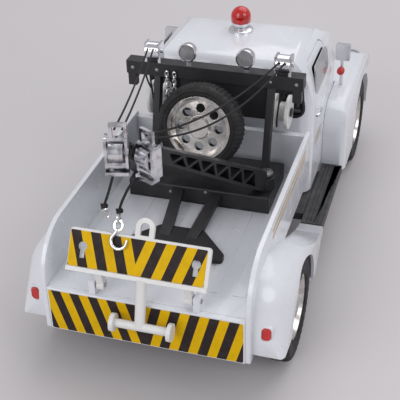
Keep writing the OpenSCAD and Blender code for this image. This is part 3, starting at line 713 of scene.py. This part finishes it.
def lean(name, description, degrees):
    """An angle setting, from degrees."""
    return bpy.props.FloatProperty(name=name, description=description, subtype="ANGLE",
                                   default=math.radians(degrees))


def watts(name, description, power):
    """A lamp's power setting."""
    return bpy.props.FloatProperty(name=name, description=description, default=power, min=0.0,
                                   unit="POWER")


def number(name, description, value, **limits):
    """A plain number setting."""
    return bpy.props.FloatProperty(name=name, description=description, default=value, **limits)


class TowTruckLook(bpy.types.PropertyGroup):
    white: colour("White", "Enamel of the body", 224, 226, 232)
    cream: colour("Cream", "Plastic of the tow bar and drums", 226, 225, 224)
    yellow: colour("Yellow", "Light hazard band", 226, 181, 0)
    black: colour("Black", "Dark hazard band", 46, 38, 39)
    black_plastic: colour("Black plastic", "Mast, booms and inside", 34, 32, 35)
    chrome: colour("Chrome", "Plated pieces", 228, 228, 232)
    red: colour("Red", "Beacon and lamps", 190, 18, 16)
    edge: span("Edge", "Rounding of the body's edges", 0.35)
    tail_lean: lean("Tail lean", "Lean of the tail's bands", 15.6)
    plate_lean: lean("Plate lean", "Lean of the plate's bands", 18)
    tail_period: span("Tail bands", "Width of two bands on the tail board", 7.5, 1.0)
    tail_phase: number("Tail start", "Where the tail's first band starts, in periods", 0.53)
    plate_period: span("Plate bands", "Width of two bands on the tow plate", 7.85, 1.0)
    plate_phase: number("Plate start", "Where the plate's first band starts, in periods", -0.03)
    sag: span("Sag", "Dip of the right boom's strings", 7)


class TowTruckStage(bpy.types.PropertyGroup):
    floor: colour("Floor", "Colour of the floor", 206, 202, 204)
    key: watts("Key", "Power of the high light", 4.0)
    fill: watts("Fill", "Power of the side lights", 1.8)
    sky: number("Sky", "Strength of the light all round", 0.62, min=0.0)


class TOWTRUCK_OT_body(bpy.types.Operator):
    """Bed, fenders, cab, doors, hood and nose in gloss white, with plain gold lines"""
    bl_idname = "tow_truck.body"
    bl_label = "Body panels"

    def execute(self, context):
        edge = context.scene.tow_truck_look.edge
        for node in ("bed_floor", "bed_side_left", "bed_side_right", "bed_front_wall",
                     "tail_board", "nose"):
            dressed(node, edge)
        for node in ("rear_fender_left", "rear_fender_right", "front_fender_left",
                     "front_fender_right"):
            dressed(node, edge * 0.8, sharp=62)
        for node in ("cab_shell", "door_left", "door_right", "hood"):
            dressed(node, edge * 0.7, sharp=42)
        for side, s in SIDES:
            gold_lines("gold_lines_" + side, "truck", s * BED_FACE, 34, 96, (56.2, 59.0))
            gold_lines("gold_door_lines_" + side, "door_" + side, s * DOOR_FACE, 124, 139,
                       (46.0, 49.0))
        return {"FINISHED"}


class TOWTRUCK_OT_glass(bpy.types.Operator):
    """Rear window and windscreen with their rubber seals, and the door panes"""
    bl_idname = "tow_truck.glass"
    bl_label = "Windows"

    def execute(self, context):
        dressed("cab_glass", 0)
        rear = []
        for p in rounded([(-36.2, 65, 4), (36.2, 65, 4), (34.4, 82, 4), (-34.4, 82, 4)]):
            rear.append(at(p.x, REAR_WINDOW_Y + max(0, p.y - REAR_BEND_Z) * REAR_SLOPE, p.y))
        seal("rear_window_seal", rear, 0.75)
        front = []
        for p in rounded([(-32, -7, 3), (32, -7, 3), (28, 7, 3), (-28, 7, 3)]):
            front.append(at(p.x, WINDSCREEN_Y - p.y * math.sin(WINDSCREEN_LEAN),
                            WINDSCREEN_Z + p.y * math.cos(WINDSCREEN_LEAN)))
        seal("windscreen_seal", front, 0.6)
        for side, s in SIDES:
            door_pane(side, s)
        return {"FINISHED"}


class TOWTRUCK_OT_stripes(bpy.types.Operator):
    """Hazard stickers on the tail board and the tow plate"""
    bl_idname = "tow_truck.stripes"
    bl_label = "Hazard stripes"

    def execute(self, context):
        bm = bmesh.new()
        plate(bm, [oblong(-38.3, TAIL_FOOT + 0.6, 38.3, 41.6, 0.6, 3)], -0.12, 0.02)
        fresh("tail_sticker", bm, "tail_stripes", "truck")
        bm = bmesh.new()
        holes = [keyhole(x, PLATE_HOLE_Z) for x in PLATE_HOLES]
        plate(bm, [oblong(-29.6, 54.4, 23.2, 67.8, 0.5, 3)] + holes, 0.86, 1.02)
        bmesh.ops.rotate(bm, verts=bm.verts, cent=PLATE_FOOT, matrix=PLATE_TURN)
        fresh("plate_sticker", bm, "plate_stripes", "tow_bar")
        return {"FINISHED"}


class TOWTRUCK_OT_lamps(bpy.types.Operator):
    """Beacon, tail lamps, marker lamps, spotlights and headlamps"""
    bl_idname = "tow_truck.lamps"
    bl_label = "Lamps"

    def execute(self, context):
        dressed("tail_lamps")
        dressed("headlamps")
        rings, heads, spots, panes, dots = (bmesh.new() for _ in range(5))
        for _, s in SIDES:
            x = s * TAIL_LAMP_X
            loops = [oblong(x - a, TAIL_LAMP_Z - b, x + a, TAIL_LAMP_Z + b, 1.3)
                     for a, b in TAIL_LAMP_FRAME]
            plate(rings, loops, 3.9, 7.4)
            turned(heads, HEADLAMP_RING, at(s * HEADLAMP[0], *HEADLAMP[1:]), -ALONG)
            x = s * SPOT_X + SPOT_SHIFT
            turned(spots, SPOT_SHELL, at(x, SPOT_Y, SPOT_Z), ALONG)
            block(spots, (x - 1.1, 97.1, 93.6), (x + 1.1, 99.9, 96.8))
            turned(panes, SPOT_PANE, at(x, SPOT_Y + 0.3, SPOT_Z), ALONG, 32)
            turned(dots, MARKER_LAMP, at(s * MARKER[0], *MARKER[1:]), ALONG, 28)
        soften(fresh("tail_lamp_rings", rings, "body_white", "truck"), 0.2 * MM)
        fresh("headlamp_rings", heads, "chrome", "truck")
        shells = fresh("spotlight_shells", spots, "chrome", "truck", 50)
        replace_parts(shells, "spotlights")
        fresh("spotlight_panes", panes, "spot_glass", "truck")
        fresh("marker_lamps", dots, "red_lens", "truck")
        bm = bmesh.new()
        turned(bm, BEACON_LENS, BEACON_LENS_FOOT, UP)
        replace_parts(fresh("beacon_lens", bm, "red_lens", "truck", 50), "beacon_dome")
        bm = bmesh.new()
        turned(bm, BEACON_RING, BEACON_FOOT, UP)
        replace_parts(fresh("beacon_ring", bm, "chrome", "truck"), "beacon_base")
        return {"FINISHED"}


class TOWTRUCK_OT_wheels(bpy.types.Operator):
    """Road tyres, spare tyre and their rims"""
    bl_idname = "tow_truck.wheels"
    bl_label = "Wheels"

    def execute(self, context):
        for node, (middle, y) in TYRES.items():
            bm = bmesh.new()
            for _, s in SIDES:
                tread(bm, at(s * middle, y, TYRE_R), ACROSS, TYRE_R, TYRE_HALF, 40, 0.8)
            piece = fresh(node + "_tread", bm, "tyre_rubber", body_of(node))
            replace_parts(piece, node)
        bm = bmesh.new()
        tread(bm, SPARE_CENTRE, SPARE_TURN @ ALONG, SPARE_R, TYRE_HALF, 56, 0.3)
        piece = fresh("spare_tread", bm, "tyre_rubber", "truck")
        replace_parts(piece, "spare_tyre")
        for node in ("rear_wheelset", "front_wheelset", "spare_rim"):
            dressed(node, 0.2 * MM, "rim_chrome", sharp=40)
        return {"FINISHED"}


class TOWTRUCK_OT_mast(bpy.types.Operator):
    """Chassis, mast, winches, platform and brace, with their bolts"""
    bl_idname = "tow_truck.mast"
    bl_label = "Mast and winches"

    def execute(self, context):
        for node in ("mast_post_left", "mast_post_right", "mast_beam", "winch_brackets",
                     "winch_platform", "floor_brace", "chassis"):
            dressed(node)
        for node in ("masthead_pulleys", "boom_pins", "winch_drum_left", "winch_drum_right"):
            dressed(node, 0.2 * MM)
        bm = bmesh.new()
        for _, s in SIDES:
            bolt(bm, at(s * 16, 33.4, 44.2), UP, 0.7, 0.5)
            for x in (25, 36):
                bolt(bm, at(s * x, 95.5, 90.6), -ALONG, 0.6, 0.4)
        for x, z in PLATFORM_BOLTS:
            bolt(bm, at(x, 70, z), -ALONG, 0.5, 0.4)
        fresh("mast_bolts", bm, "pin_steel", "truck")
        return {"FINISHED"}


class TOWTRUCK_OT_booms(bpy.types.Operator):
    """Two lattice booms and their plated sheave heads"""
    bl_idname = "tow_truck.booms"
    bl_label = "Booms"

    def execute(self, context):
        for side, _ in SIDES:
            dressed("boom_" + side, 0.2 * MM)
            dressed("boom_head_" + side, 0.25 * MM, "cast_chrome")
        return {"FINISHED"}


class TOWTRUCK_OT_rigging(bpy.types.Operator):
    """Strings, chain, hook and link"""
    bl_idname = "tow_truck.rigging"
    bl_label = "Strings and hook"

    def execute(self, context):
        dressed("hoist_cables", 0)
        bm = bmesh.new()
        for _, s in SIDES:
            for tail in (((28.9, 97.6, 88), (28.6, 97.5, 82), (27.8, 97.5, 74), (27.6, 97.6, 68.7)),
                         ((31.2, 97.6, 88), (30, 97.5, 83.5), (28.2, 97.5, 79.6))):
                tube(bm, route([at(s * x, y, z) for x, y, z in tail]), STRING_R * MM)
        fresh("hoist_tails", bm, "black_cord", "truck")
        for side, s in SIDES:
            boom_strings(side, s, context.scene.tow_truck_look.sag)
        loose_string("hook_string", [at(-6.4, 18.6, 85.1), at(-8.2, 16, 83.2), at(-9.4, 14, 80.6),
                                     at(-10.3, 12, 78)], HOOK_KNOT, "hook", "hook_cord")
        loose_string("left_string", [at(-12.8, 12.5, 89.2), at(-13.2, 11, 86.6),
                                     at(-13.8, 8.6, 83.2)], LEFT_KNOT, "boom_left", "left_cord")
        bm = bmesh.new()
        link(bm, at(-13.4, 5.8, 77.4), Vector((0.5, 0, -1)), ALONG, 3.4, 1.7, 0.42)
        fresh("left_link", bm, "chrome", "boom_left")
        bm = bmesh.new()
        for x, z, count in ((-20.1, 89.4, 7), (-16.8, 89.3, 5)):
            for i in range(count):
                link(bm, at(x - 0.05 * i, 94.8, z - 1.75 * i), -UP, ACROSS if i % 2 else ALONG,
                     2.7, 1.3, 0.36)
        fresh("chain", bm, "chrome", "truck")
        hook_forging()
        return {"FINISHED"}


class TOWTRUCK_OT_tow_bar(bpy.types.Operator):
    """Folding tow bar and its pin"""
    bl_idname = "tow_truck.tow_bar"
    bl_label = "Tow bar"

    def execute(self, context):
        dressed("tow_bar", 0.35 * MM)
        dressed("tow_pin", 0.15 * MM)
        return {"FINISHED"}


class TOWTRUCK_OT_trim(bpy.types.Operator):
    """Bumper, grille, mirrors, running boards, door handles and the inside"""
    bl_idname = "tow_truck.trim"
    bl_label = "Trim and inside"

    def execute(self, context):
        for node in ("grille", "front_bumper", "mirrors", "base_screws", "bench_seat", "dashboard",
                     "steering_wheel", "engine", "running_board_left", "running_board_right"):
            dressed(node, 0.25 * MM)
        bar = ((40, 124.6), (41, 125), (41.3, 128), (41, 131), (40.2, 131.6))
        for side, s in SIDES:
            bm = bmesh.new()
            tube(bm, route([at(s * x, y, 62) for x, y in bar], 4), 0.75 * MM)
            fresh("door_handle_" + side, bm, "chrome", "door_" + side)
        return {"FINISHED"}


class TOWTRUCK_OT_stage(bpy.types.Operator):
    """Pale floor, soft light and the camera"""
    bl_idname = "tow_truck.stage"
    bl_label = "Stage"

    def execute(self, context):
        stage = context.scene.tow_truck_stage
        self.lay_floor(context, stage)
        self.aim_camera(context)
        self.hang_lamps(context, stage)
        world = bpy.data.worlds.new("studio")
        world.use_nodes = True
        back = world.node_tree.nodes["Background"]
        back.inputs["Color"].default_value = opaque(shown(228, 228, 232))
        back.inputs["Strength"].default_value = stage.sky
        context.scene.world = world
        context.scene.view_settings.view_transform = "Standard"
        return {"FINISHED"}

    def lay_floor(self, context, stage):
        bm = bmesh.new()
        bmesh.ops.create_grid(bm, x_segments=1, y_segments=1, size=3.0)
        mesh = bpy.data.meshes.new("floor")
        bm.to_mesh(mesh)
        bm.free()
        floor = bpy.data.objects.new("floor", mesh)
        context.scene.collection.objects.link(floor)
        f = Finish("floor_paper", stage.floor, 0.8)
        f.patches(stage.floor, 0.97, f.noise(5, 2), 0.3, 0.7)
        mesh.materials.append(f.material)

    def aim_camera(self, context):
        data = bpy.data.cameras.new("camera")
        data.sensor_width = 36.0
        data.lens = CAMERA_LENS
        data.clip_start = 0.01
        camera = bpy.data.objects.new("camera", data)
        context.scene.collection.objects.link(camera)
        level = Vector((math.cos(CAMERA_YAW), math.sin(CAMERA_YAW), 0))
        ahead = UP.cross(level) * math.cos(CAMERA_PITCH) + UP * math.sin(CAMERA_PITCH)
        high = level.cross(ahead)
        right = level * math.cos(CAMERA_ROLL) + high * math.sin(CAMERA_ROLL)
        top = high * math.cos(CAMERA_ROLL) - level * math.sin(CAMERA_ROLL)
        turn = Matrix((right, top, -ahead)).transposed().to_4x4()
        camera.matrix_world = Matrix.Translation(CAMERA_PLACE) @ turn
        context.scene.camera = camera

    def hang_lamps(self, context, stage):
        for name, spot, aim, size, energy in (
                ("key", (0.15, 0.4, 0.85), (0, 0, 0.03), 1.1, stage.key),
                ("fill", (0.75, -0.35, 0.55), (0, 0, 0.05), 0.6, stage.fill),
                ("rear", (-0.35, -0.75, 0.45), (0, -0.05, 0.05), 0.6, stage.fill * 1.3)):
            lamp = bpy.data.lights.new(name, "AREA")
            lamp.shape = "DISK"
            lamp.size = size
            lamp.energy = energy
            holder = bpy.data.objects.new(name, lamp)
            context.scene.collection.objects.link(holder)
            holder.location = spot
            sight = Vector(aim) - Vector(spot)
            holder.rotation_euler = sight.to_track_quat("-Z", "Y").to_euler()


PIECES = (TOWTRUCK_OT_stage, TOWTRUCK_OT_rigging, TOWTRUCK_OT_body, TOWTRUCK_OT_glass,
          TOWTRUCK_OT_stripes, TOWTRUCK_OT_lamps, TOWTRUCK_OT_wheels, TOWTRUCK_OT_mast,
          TOWTRUCK_OT_booms, TOWTRUCK_OT_tow_bar, TOWTRUCK_OT_trim)


class TOWTRUCK_PT_panel(bpy.types.Panel):
    """Settings and makers of the tow truck"""
    bl_idname = "TOWTRUCK_PT_panel"
    bl_label = "Tow Truck"
    bl_space_type = "VIEW_3D"
    bl_region_type = "UI"
    bl_category = "Tow Truck"

    def draw(self, context):
        for group in (context.scene.tow_truck_look, context.scene.tow_truck_stage):
            for name in group.bl_rna.properties.keys():
                if name not in ("name", "rna_type"):
                    self.layout.prop(group, name)
        for piece in PIECES:
            self.layout.operator(piece.bl_idname)


CLASSES = (TowTruckLook, TowTruckStage) + PIECES + (TOWTRUCK_PT_panel,)


def register():
    for cls in CLASSES:
        bpy.utils.register_class(cls)
    bpy.types.Scene.tow_truck_look = bpy.props.PointerProperty(type=TowTruckLook)
    bpy.types.Scene.tow_truck_stage = bpy.props.PointerProperty(type=TowTruckStage)


def unregister():
    del bpy.types.Scene.tow_truck_stage
    del bpy.types.Scene.tow_truck_look
    for cls in reversed(CLASSES):
        bpy.utils.unregister_class(cls)


def main():
    register()
    for piece in PIECES:
        group, name = piece.bl_idname.split(".")
        getattr(getattr(bpy.ops, group), name)()


if __name__ == "__main__":
    main()
